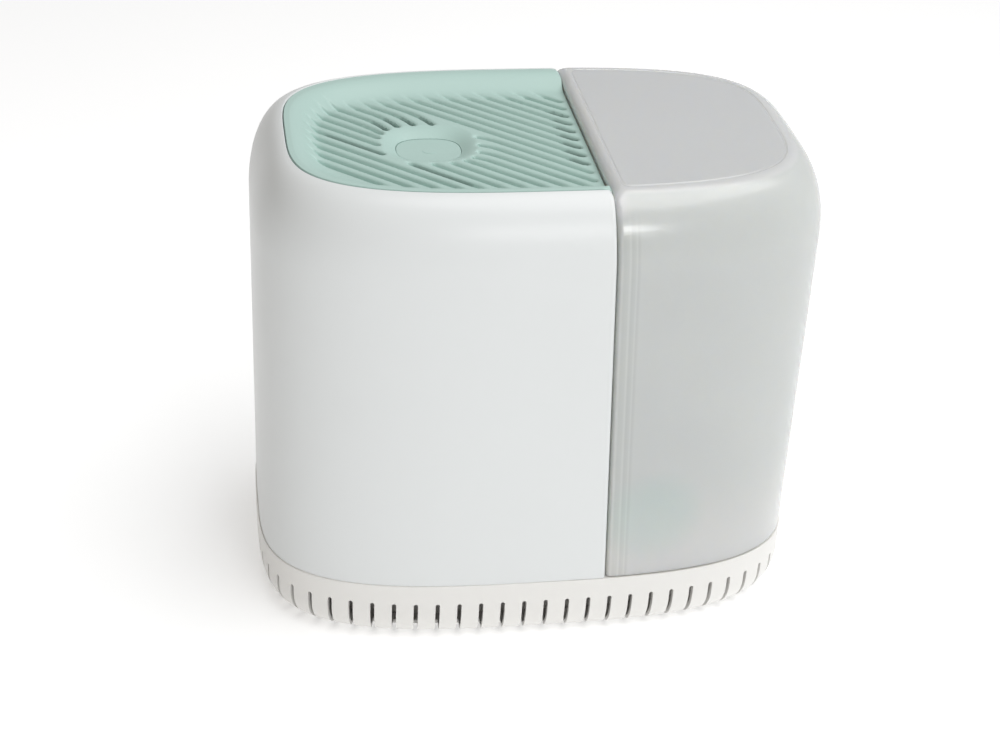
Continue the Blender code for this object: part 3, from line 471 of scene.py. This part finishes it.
def make_tank():
    low, high = SHELL_BOTTOM, HEIGHT
    rings = shell_rings(low, high, 0.0, 1, TANK_CORNER, edge=TANK_EDGE, foot=1.0, lean=TANK_LEAN)
    a, b = WIDTH / 2 - SHELL_INSET - TOP_INSET, DEPTH / 2 - SHELL_INSET - TOP_INSET
    wall = seam_x(high) + SEAM_HALF_GAP + TANK_EDGE
    for inset, drop in ((0.25, 0.3), (0.8, 0.55), (1.35, 0.3), (1.6, 0.0)):     # fine line round the flat top
        rings.append(part_outline(a - inset, b - inset, wall + inset, 4.5, high - drop * 0.8, 1))
    tank = loft("water_tank", rings)
    neck = turned("neck", [(NECK_RADIUS, NECK_BOTTOM), (NECK_RADIUS, low + 1.5)], CAP.x, CAP.y, 64)
    boolean(tank, neck, "UNION")
    hollow = shell_rings(low + WALL, high - WALL, WALL, 1, 6.0, edge=TANK_EDGE, lean=TANK_LEAN)
    boolean(tank, loft("hollow", hollow))
    bore = turned("bore", [(BORE_RADIUS, NECK_BOTTOM - 4.0), (BORE_RADIUS, low + 8)], CAP.x, CAP.y, 64)
    boolean(tank, bore)
    piece(tank, "tank", FROSTED, "tank_frosted", "tank_shell")


def base_inset(z):
    return BASE_INSET * quarter(1 - z / BASE_ROUND)


def slot_tools(count=72, width=2.4, top=25.5, depth=14.0, proud=4.0, phase=2.6):
    """Upright slots with round tops at even spacing round the edge, as one mesh of separate blocks."""
    fine = [ellipse_point(WIDTH / 2, DEPTH / 2, -math.pi / 2 + math.tau * k / 2880) for k in range(2881)]
    length = [0.0]
    for p, q in zip(fine, fine[1:]):
        length.append(length[-1] + math.dist(p, q))
    shape = [(-1.0, -1.0), (1.0, -1.0)]
    shape += [(math.cos(turn), top - width / 2 + width / 2 * math.sin(turn))
              for turn in (math.pi * k / 6 for k in range(7))]
    points, faces, at = [], [], 0
    for slot in range(count):
        goal = phase + slot * length[-1] / count
        while length[at + 1] < goal:
            at += 1
        p, q = Vector(fine[at]), Vector(fine[at + 1])
        along = (q - p).normalized()
        place = p + along * (goal - length[at])
        outward = Vector((along.y, -along.x))
        first, size = len(points), len(shape)
        for out in (-depth, proud):
            for across, z in shape:
                flat = place + outward * out + along * across * width / 2
                points.append((flat.x, flat.y, z))
        faces.append(tuple(first + k for k in range(size)))
        faces.append(tuple(first + size + k for k in reversed(range(size))))
        for k in range(size):
            j = (k + 1) % size
            faces.append((first + k, first + j, first + size + j, first + size + k))
    return add_mesh("slots", points, faces)


def make_base():
    levels = [BASE_BOTTOM] + [BASE_BOTTOM + (BASE_ROUND - BASE_BOTTOM) * (1 - math.cos(math.pi / 2 * k / 9))
                              for k in range(1, 10)]
    rings = [full_outline(base_inset(z), z) for z in levels]
    edge = 0.7
    rings += [full_outline(edge * quarter(u), BASE_TOP - edge + edge * u) for u in (0.0, 0.5, 0.85, 1.0)]
    bevel = 0.3
    rings += [full_outline(LIP_INSET, BASE_TOP), full_outline(LIP_INSET, LIP_TOP - bevel),
              full_outline(LIP_INSET + bevel, LIP_TOP)]
    tray = loft("base_body", rings)
    channel = [(base_inset(z) + WALL, z) for z in (BASE_FLOOR, 7.0, 10.0, 14.0, BASE_ROUND)]
    channel += [(WALL, 30.0), (5.2, 31.0), (5.2, LIP_TOP + 2), (20.0, LIP_TOP + 2), (20.0, BASE_FLOOR)]
    boolean(tray, loft("channel", [full_outline(i, z) for i, z in channel], loop=True))
    boolean(tray, loft("basin", [full_outline(BASIN_INSET, z) for z in (BASE_FLOOR, LIP_TOP + 3)]))
    boolean(tray, loft("basin_top", [full_outline(BASIN_RIM_INSET, z) for z in (30.0, LIP_TOP + 4)]))
    lip_end = [[(x, y, z) for x, y in ((15, -120), (200, -120), (200, 120), (15, 120))]
               for z in (BASE_TOP - 0.1, 60)]                               # no lip on the tank's side
    boolean(tray, loft("lip_end", lip_end))
    boolean(tray, slot_tools())
    boolean(tray, turned("post", [(4.0, 3.0), (4.0, 10.7)], CAP.x, CAP.y, 32), "UNION")
    float_low, float_high = low_high("water_float")
    centre = (float_low + float_high) / 2
    boolean(tray, turned("pin", [(2.2, 3.0), (2.2, 32.0)], centre.x, centre.y, 24), "UNION")
    for index in range(1, 5):
        foot = sum(low_high(f"rubber_foot_{index}"), Vector()) / 2
        boolean(tray, turned("pocket", [(9.3, -1.0), (9.3, 3.0)], foot.x, foot.y, 48))
        made = turned(f"foot_pad_{index}", [(7.6, 0.0), (8.3, 0.15), (8.8, 0.6), (9.0, 1.2), (9.0, 2.7)],
                      foot.x, foot.y, 48)
        piece(made, "base", RUBBER, "foot_rubber", f"rubber_foot_{index}")
    piece(tray, "base", BASE_WHITE, "base_white", "base_tray")


# ---------------------------------------------------------------- lid

def oval(length, width, z, sides=96):
    ring = []
    for k in range(sides):
        c, s = math.cos(math.tau * k / sides), math.sin(math.tau * k / sides)
        ring.append((BUTTON.x + math.copysign(length / 2 * abs(c) ** (2 / OVAL_POWER), c),
                     BUTTON.y + math.copysign(width / 2 * abs(s) ** (2 / OVAL_POWER), s), z))
    return ring


def smooth_step(t):
    t = np.clip(t, 0.0, 1.0)
    return t * t * (3 - 2 * t)


def beyond_floor(point):
    """How far a point lies up the slope round the slatted floor, measured along the plan. 0 on the floor."""
    def outside(grow):
        x, y = abs(point.x) / (FLOOR_A + grow), abs(point.y - FLOOR_Y) / (FLOOR_B + grow)
        return x ** POWER_X + y ** POWER_Y > 1
    if not outside(0.0):
        return 0.0
    low, high = 0.0, DISH_SLOPE + 6
    for _ in range(14):
        middle = (low + high) / 2
        if outside(middle):
            low = middle
        else:
            high = middle
    return high


def to_well(point):
    """Rough distance outside the edge of the well round the button."""
    x, y = abs(point.x - BUTTON.x) / (WELL_LENGTH / 2), abs(point.y - BUTTON.y) / (WELL_WIDTH / 2)
    return ((x ** OVAL_POWER + y ** OVAL_POWER) ** (1 / OVAL_POWER) - 1) * WELL_REACH


def slope_reach(point, least=2.5, most=9.0, start=92.0, run=18.0):
    """How far up the slope a groove climbs: furthest at the left end of the lid."""
    return least + (most - least) * smooth_step((-point.x - start) / run)


def march(start, heading, sign, bend, reach, stop, most_steps=600):
    """Points along one groove, which bends near the well and stops at the well or up the slope."""
    path, point = [start], start.copy()
    for _ in range(most_steps):
        near = max(0.0, 1 - max(0.0, to_well(point)) / reach)
        angle = heading + bend * near ** 1.3
        point = point + sign * GROOVE_STEP * Vector((math.cos(angle), math.sin(angle)))
        if beyond_floor(point) > slope_reach(point) or point.x > GROOVE_END:
            break
        if to_well(point) < WELL_GAP or stop(point):
            break
        path.append(point.copy())
    return path


def groove_paths():
    """Every groove as its points and its line's index. Those that meet the well bend towards it."""
    along = Vector((math.cos(SLAT_ANGLE), math.sin(SLAT_ANGLE)))
    normal = Vector((-along.y, along.x))
    found, taken = [], []

    def crowded(p):
        return any((p - q).length_squared < GROOVE_GAP ** 2 for q in taken)

    def free(p):
        return False

    def lay(points):
        found.append((points, index))
        taken.extend(points[::3])

    for index in range(-22, 17):
        offset = index * SLAT_PITCH + SLAT_PHASE
        inside = [normal * offset + along * (k * GROOVE_STEP) for k in range(-400, 401)]
        inside = [p for p in inside if p.x < GROOVE_END - 1 and beyond_floor(p) <= 0.0]
        if len(inside) < 12:
            continue
        if min(to_well(p) for p in inside) >= WELL_GAP:
            middle = inside[len(inside) // 2]
            back = march(middle, SLAT_ANGLE, -1, 0.0, 1.0, free)
            ahead = march(middle, SLAT_ANGLE, 1, 0.0, 1.0, free)
            lay(list(reversed(back))[:-1] + ahead)
            continue
        dive = math.radians(-26) * smooth_step((offset + 58.0) / 24.0)
        left = march(inside[0], SLAT_ANGLE, 1, dive, 24.0, crowded)
        head = march(inside[0], SLAT_ANGLE, -1, 0.0, 1.0, free)
        turn = math.radians(27) * smooth_step((offset + 50.0) / 15.0)
        right = march(inside[-1], SLAT_ANGLE, -1, turn, 13.0, crowded)
        tail = march(inside[-1], SLAT_ANGLE, 1, 0.0, 1.0, free)
        lay(list(reversed(head))[:-1] + left)
        lay(list(reversed(right))[:-1] + tail)
    return [(points, index) for points, index in found if len(points) > 12]


def open_run(path, index, length):
    """The run of a groove that goes through the plate, and how much wider its slit is there."""
    if index == -10:
        return (14.0, length - 0.5, 0.0) if path[0].x < BUTTON.x - 30 else (0.5, length - 12.0, 0.0)
    if path[-1].x > GROOVE_END - 2 and -2 <= index <= 4:
        return length - 12.0, length - 0.3, 0.45
    if -6 <= index <= -3 and path[-1].x < BUTTON.x + 15:
        return length - 13.0, length - 0.5, 0.0
    return 0.0, 0.0, 0.0


def carve(points_x, points_y, surface, reach=3.4, taper=8.0):
    """Lower the surface along every groove, between rounded ribs. Grooves fade out up the slope.

    A groove is cut within reach of its line, and a fading one narrows over its last millimetres, the taper.
    """
    for path, index in groove_paths():
        length = (len(path) - 1) * GROOVE_STEP
        start, stop, wider = open_run(path, index, length)
        line = np.array([tuple(p) for p in path])
        near = np.flatnonzero((points_x > line[:, 0].min() - reach) & (points_x < line[:, 0].max() + reach)
                              & (points_y > line[:, 1].min() - reach) & (points_y < line[:, 1].max() + reach))
        apart = np.hypot(points_x[near, None] - line[None, :, 0], points_y[near, None] - line[None, :, 1])
        nearest = apart.argmin(axis=1)
        off = apart[np.arange(len(near)), nearest]
        at = nearest * GROOVE_STEP
        end = np.minimum(at, length - at)
        tip = np.where(at < length / 2, beyond_floor_at(line[:1])[0], beyond_floor_at(line[-1:])[0])
        sloped = tip > 0.5
        through = (at > start) & (at < stop)
        depth = np.where(through, THROUGH_DEPTH, GROOVE_DEPTH)
        tapered = np.minimum(1.0, end / taper)
        fade = 0.12 + 1.5 * tapered + (depth - ROOT_DEPTH) * smooth_step((end - 6.0) / 4.0)
        deep = np.where(sloped, fade, depth)
        narrow = np.where(sloped, 0.75 + 0.25 * tapered, 1.0)
        slit, flare = GROOVE_HALF * narrow + wider * through, GROOVE_FLARE * narrow
        crown = np.minimum(CROWN, deep * 0.95)
        part = np.clip((off - slit) / flare, 0.0, 1.0)
        drop = np.where(off < slit, deep, crown * (1 - np.sqrt(1 - (1 - part) ** 2)))
        surface[near] = np.minimum(surface[near], ground_at(points_x[near], points_y[near]) - drop)


def beyond_floor_at(places):
    """The same as beyond_floor for an array of places."""
    x, y = np.abs(places[:, 0]), np.abs(places[:, 1] - FLOOR_Y)
    low, high = np.zeros(len(places)), np.full(len(places), DISH_SLOPE + 6.0)
    for _ in range(14):
        middle = (low + high) / 2
        out = (x / (FLOOR_A + middle)) ** POWER_X + (y / (FLOOR_B + middle)) ** POWER_Y > 1
        low, high = np.where(out, middle, low), np.where(out, high, middle)
    return np.where((x / FLOOR_A) ** POWER_X + (y / FLOOR_B) ** POWER_Y > 1, high, 0.0)


def ground_at(x, y):
    """The height of the dished lid before its grooves are cut."""
    up = beyond_floor_at(np.stack((x, y), axis=1))
    ground = LID_FLOOR + (LID_TOP + 0.05 - LID_FLOOR) * smooth_step(up / DISH_SLOPE)
    ground += 3.0 * np.clip((up - DISH_SLOPE) / 1.5, 0.0, 1.0)
    dx, dy = np.abs(x - BUTTON.x), np.abs(y - BUTTON.y)
    low, high = np.zeros(len(x)), np.ones(len(x))
    for _ in range(12):
        middle = (low + high) / 2
        half_x = (PAD_LENGTH + 0.1 + (WELL_LENGTH - PAD_LENGTH) * middle) / 2
        half_y = (PAD_WIDTH + 0.1 + (WELL_WIDTH - PAD_WIDTH) * middle) / 2
        out = (dx / half_x) ** OVAL_POWER + (dy / half_y) ** OVAL_POWER > 1
        low, high = np.where(out, middle, low), np.where(out, high, middle)
    rise = 0.55 * high + 0.45 * np.sin(np.pi / 2 * high)
    return np.where(high > 0.999, ground, WELL_FLOOR + (LID_FLOOR - WELL_FLOOR) * rise)


def top_tool(step_along=1.1, step_across=0.46):
    """Everything above the lid's upper surface, as one closed block whose rows run along the slats."""
    along = np.array((math.cos(SLAT_ANGLE), math.sin(SLAT_ANGLE)))
    normal = np.array((-along[1], along[0]))
    us, vs = np.arange(-150.0, 110.0, step_along), np.arange(-140.0, 90.0, step_across)
    u, v = np.meshgrid(us, vs, indexing="ij")
    x, y = u * along[0] + v * normal[0], u * along[1] + v * normal[1]
    places = np.stack((x.ravel(), y.ravel()), axis=1)
    inside = (beyond_floor_at(places) < DISH_SLOPE + 3.0) & (places[:, 0] < LID_RIGHT + 2.0)
    inside = inside.reshape(x.shape)
    cells = inside[:-1, :-1] & inside[1:, :-1] & inside[1:, 1:] & inside[:-1, 1:]
    number = np.zeros(x.shape, dtype=int)
    used = np.zeros(x.shape, dtype=bool)
    for di in (0, 1):
        for dj in (0, 1):
            used[di:di + cells.shape[0], dj:dj + cells.shape[1]] |= cells
    number[used] = np.arange(used.sum())
    flat_x, flat_y = x[used], y[used]
    surface = ground_at(flat_x, flat_y)
    carve(flat_x, flat_y, surface)
    points = list(zip(flat_x.tolist(), flat_y.tolist(), surface.tolist()))
    points.append((-50.0, 0.0, HEIGHT + 2500.0))
    peak, faces, rims = len(points) - 1, [], {}
    for i, j in zip(*np.nonzero(cells)):
        a, b, c, d = (int(number[i + di, j + dj]) for di, dj in ((0, 0), (1, 0), (1, 1), (0, 1)))
        faces += [(a, d, c), (a, c, b)]
        for p, q in ((d, a), (c, d), (b, c), (a, b)):
            if (q, p) in rims:
                del rims[(q, p)]
            else:
                rims[(p, q)] = True
    faces += [(p, q, peak) for p, q in rims]
    return add_mesh("top_tool", points, faces)


def make_lid():
    a, b = WIDTH / 2 - LID_INSET, DEPTH / 2 - LID_INSET
    rings = [part_outline(a - 0.3, b - 0.3, LID_RIGHT - 0.3, LID_CORNER, LID_UNDER, -1)]
    for k in range(9):
        u = k / 8
        drop, edge = 3.0 * (1 - math.sin(math.pi / 2 * u)), 1 - math.cos(math.pi / 2 * u)
        rings.append(part_outline(a - 0.5 * edge, b - 0.5 * edge, LID_RIGHT - 3.0 * edge, LID_CORNER,
                                  LID_TOP - drop, -1))
    lid = loft("slatted_lid", rings)
    pod_low = low_high("lid_grille")[0].z
    pod = [oval(45.4, 38.4, pod_low), oval(45.4, 38.4, HEIGHT - 14), oval(54.0, 50.5, LID_UNDER + 0.3),
           oval(54.0, 50.5, LID_FLOOR - 0.3)]
    boolean(lid, loft("pod", pod), "UNION")
    boolean(lid, loft("cavity", [oval(41.4, 34.4, pod_low - 3), oval(41.4, 34.4, WELL_FLOOR - 2.4)]))
    boolean(lid, loft("pad_hole", [oval(PAD_LENGTH, PAD_WIDTH, z) for z in (pod_low - 4, HEIGHT)]))
    boolean(lid, top_tool())
    piece(lid, "lid", GREEN, "lid_green", "lid_grille", angle=40)


def make_button():
    low, high = low_high("button_cap")
    flange = WELL_FLOOR - 2.7
    rings = [oval(7.0, 7.0, low.z), oval(7.0, 7.0, flange - 2.0), oval(40.0, 33.0, flange - 2.0),
             oval(40.0, 33.0, flange), oval(PAD_LENGTH - 0.3, PAD_WIDTH - 0.3, flange)]
    for k in range(6):
        edge = 0.3 + 1.2 * quarter(k / 5)
        rings.append(oval(PAD_LENGTH - edge, PAD_WIDTH - edge, high.z - 0.6 + 0.12 * k))
    cap = loft("power_button", rings)
    size, tip = 3.4, 5.2                      # a plain droplet in low relief: half its width, and its point
    drop = []
    for k in range(48):
        turn = math.tau * k / 48
        x, y = math.sin(turn), -math.cos(turn)
        if y > 0:
            x, y = x * (1 - y) ** 0.75, y * tip / size
        drop.append((BUTTON.x + size * x, BUTTON.y - 1.0 + size * y))
    rings = [[(BUTTON.x + (x - BUTTON.x) * s, BUTTON.y + (y - BUTTON.y) * s, z) for x, y in drop]
             for z, s in ((high.z - 0.5, 1.0), (high.z + 0.12, 1.0), (high.z + 0.2, 0.96))]
    boolean(cap, loft("drop", rings), "UNION")
    piece(cap, "button", GREEN, "lid_green", "button_cap")


def make_spring():
    """The button's return spring, as a fixed coil riding on the lid; the real one is pressed shorter as the
    button goes down.
    """
    low, high = low_high("button_spring")
    wire, turns, around, sides = 0.45, 3.5, 40, 10
    radius = (high.x - low.x) / 2 - wire
    centre = (low + high) / 2
    rise = high.z - low.z - 2 * wire
    rings = []
    for k in range(int(turns * around) + 1):
        turn = math.tau * k / around
        out = Vector((math.cos(turn), math.sin(turn), 0.0))
        middle = Vector((centre.x, centre.y, low.z + wire + rise * k / (turns * around)))
        middle += out * radius
        rings.append([tuple(middle + wire * (math.cos(a) * out + Vector((0.0, 0.0, math.sin(a)))))
                      for a in (math.tau * j / sides for j in range(sides))])
    spring = loft("return_spring", rings)
    piece(spring, "lid", STEEL, "steel", "button_spring", angle=60)
    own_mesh(spring)


# ---------------------------------------------------------------- inside pieces

def make_wick(pleats=56):
    low, high = low_high("filter_wick")
    outer, inner, sheet = 64.6, 48.4, 1.1
    rings = []
    for radius_shift, z in ((0, low.z), (0, high.z), (-sheet, high.z), (-sheet, low.z)):
        ring = []
        for k in range(pleats * 4):
            phase = k % 4
            radius = (outer, (outer + inner) / 2, inner, (outer + inner) / 2)[phase] + radius_shift
            turn = math.tau * k / (pleats * 4)
            ring.append((FAN.x + radius * math.cos(turn), FAN.y + radius * math.sin(turn), z))
        rings.append(ring)
    wick = loft("pleated_wick", rings, loop=True)
    piece(wick, "filter", PAPER, "wick_paper", "filter_wick")


def make_cap():
    low, high = low_high("tank_cap")
    sides, ribs = 144, 36
    rings = []
    for radius, z in ((7.0, low.z), (24.6, low.z), (25.2, low.z + 0.5), (25.2, low.z + 1.2),
                      (25.2, high.z - 1.0), (24.8, high.z), (21.6, high.z), (21.6, 20.4), (7.0, 20.4)):
        knurled = radius > 25 and low.z + 1 < z < high.z - 0.5
        ring = []
        for k in range(sides):
            turn = math.tau * k / sides
            rib = 0.35 * max(0.0, math.cos(ribs * turn)) if knurled else 0.0
            r = radius - 0.1 + rib
            ring.append((CAP.x + r * math.cos(turn), CAP.y + r * math.sin(turn), z))
        rings.append(ring)
    cap = loft("knurled_cap", rings, loop=True)
    for index in range(3):
        turn = math.radians(90 + 120 * index)
        out = Vector((math.cos(turn), math.sin(turn)))
        across = Vector((-math.sin(turn), math.cos(turn))) * 2.0
        ends = [out * r + across * s for r, s in ((12, -1), (14, -1), (14, 1), (12, 1))]
        leg = [[(CAP.x + p.x, CAP.y + p.y, z) for p in ends] for z in (19.4, 34.0)]
        boolean(cap, loft("leg", leg), "UNION")
    cage = turned("cage", [(3.3, 33.0), (14.5, 33.0), (14.5, 35.0), (3.3, 35.0)], CAP.x, CAP.y, 64, loop=True)
    boolean(cap, cage, "UNION")
    piece(cap, "tank_cap", CAP_GREEN, "lid_green", "tank_cap")


def finish_nodes():
    """Give the CAD nodes that stay their finishes."""
    finishes = {
        "filter_bottom_frame": INNER, "filter_top_frame": INNER, "water_float": GREY, "fan_deck": INNER,
        "control_bracket": INNER, "button_retainer": INNER, "board_connector": INNER, "fan_impeller": GREY,
        "fan_motor": STEEL, "motor_shaft": STEEL, "valve_spring": STEEL,
        "control_board": BOARD, "tact_switch": DARK, "dc_inlet_jack": DARK, "power_lead": RUBBER,
        "motor_lead": RUBBER, "status_led": SILICONE, "cap_gasket": SILICONE, "valve_seal": SILICONE,
        "valve_plunger": INNER,
    }
    for name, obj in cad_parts.items():
        finish = STEEL if "screw" in name else finishes.get(name)
        if finish and not obj.hide_render:
            obj.data.materials.clear()
            obj.data.materials.append(finish)
            for polygon in obj.data.polygons:
                polygon.material_index = 0
            smooth(obj)


# ---------------------------------------------------------------- stage

def area_light(name, place, aim, size, power):
    light = bpy.data.lights.new(name, "AREA")
    light.shape, light.size, light.size_y = "RECTANGLE", size[0], size[1]
    light.energy = power
    obj = bpy.data.objects.new(name, light)
    obj.location = place
    obj.rotation_euler = (Vector(aim) - Vector(place)).to_track_quat("-Z", "Y").to_euler()
    bpy.context.collection.objects.link(obj)


def make_stage():
    bpy.ops.mesh.primitive_plane_add(size=60.0, location=(0.0, 0.0, 0.0))
    floor = bpy.context.object
    floor.name = "floor"
    made, node = shader("floor_paint", (0.93, 0.93, 0.93), 0.9)
    node.inputs["Emission Color"].default_value = (1.0, 1.0, 1.0, 1.0)
    node.inputs["Emission Strength"].default_value = 0.33
    floor.data.materials.append(made)

    world = bpy.data.worlds.new("studio")
    world.use_nodes = True
    tree = world.node_tree
    back = tree.nodes["Background"]
    back.inputs["Strength"].default_value = 0.58
    place = add(tree, "ShaderNodeTexCoord")
    parts = add(tree, "ShaderNodeSeparateXYZ")
    side = add(tree, "ShaderNodeMapRange", interpolation_type="SMOOTHSTEP")
    limits(side, -0.85, 0.10)                 # dim and warm on the left, as in a furnished room
    tone = add(tree, "ShaderNodeMix", data_type="RGBA")
    tone.inputs[6].default_value = (0.23, 0.185, 0.13, 1.0)
    tone.inputs[7].default_value = (0.98, 0.99, 1.0, 1.0)
    tree.links.new(place.outputs["Generated"], parts.inputs[0])
    tree.links.new(parts.outputs["X"], side.inputs["Value"])
    tree.links.new(side.outputs["Result"], tone.inputs[0])
    tree.links.new(tone.outputs[2], back.inputs["Color"])
    bpy.context.scene.world = world
    area_light("key", (0.40, -0.25, 1.45), (0.0, 0.0, 0.2), (1.5, 1.2), 13.4)
    area_light("strip", (0.24, -1.29, 0.58), (0.03, -0.09, 0.24), (0.36, 0.12), 2.2)
    bpy.context.scene.view_settings.view_transform = "Standard"


def make_camera():
    """Seen from above and slightly to the left of the front, and tilted by about 3 degrees."""
    yaw, pitch, roll = 0.1754, 0.5442, 0.0506
    place = (-0.1773, -0.931, 0.685)
    forward = Vector((math.sin(yaw) * math.cos(pitch), math.cos(yaw) * math.cos(pitch), -math.sin(pitch)))
    right = Vector((math.cos(yaw), -math.sin(yaw), 0.0))
    up = right.cross(forward)
    side = right * math.cos(roll) + up * math.sin(roll)
    rise = up * math.cos(roll) - right * math.sin(roll)
    data = bpy.data.cameras.new("camera")
    data.lens, data.sensor_width = 69.4, 36.0
    camera = bpy.data.objects.new("camera", data)
    turn = Matrix((side, rise, -forward)).transposed().to_4x4()
    camera.matrix_world = Matrix.Translation(place) @ turn
    bpy.context.collection.objects.link(camera)
    bpy.context.scene.camera = camera


make_camera()
make_stage()
make_base()
make_housing()
make_tank()
make_lid()
make_button()
make_spring()
make_wick()
make_cap()
finish_nodes()
